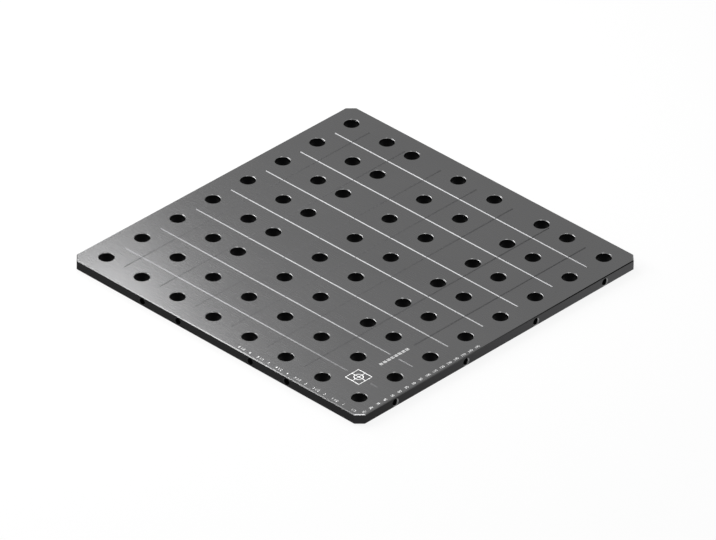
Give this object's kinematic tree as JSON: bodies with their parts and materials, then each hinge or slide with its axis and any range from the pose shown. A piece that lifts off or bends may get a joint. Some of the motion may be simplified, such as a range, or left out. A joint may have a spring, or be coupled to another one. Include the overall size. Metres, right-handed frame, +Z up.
{
  "type": "fixture plate",
  "caption": "Square steel fixture plate with a grid of plain clamping bores, engraved grid lines, cut corners and tapped bores in its edges.",
  "frame": {"origin": "centre of the underside, on the surface that the plate rests on", "axes": "+Z up out of the working face, +X and +Y along two edges; the datum corner, where the scales start, is at +X -Y"},
  "size_m": [0.4, 0.4, 0.012],
  "materials": {
    "dark_steel": "ground and hardened dark, with a satin sheen"
  },
  "bodies": {
    "root": {"fixture_plate": "dark_steel"}
  },
  "joints": []
}
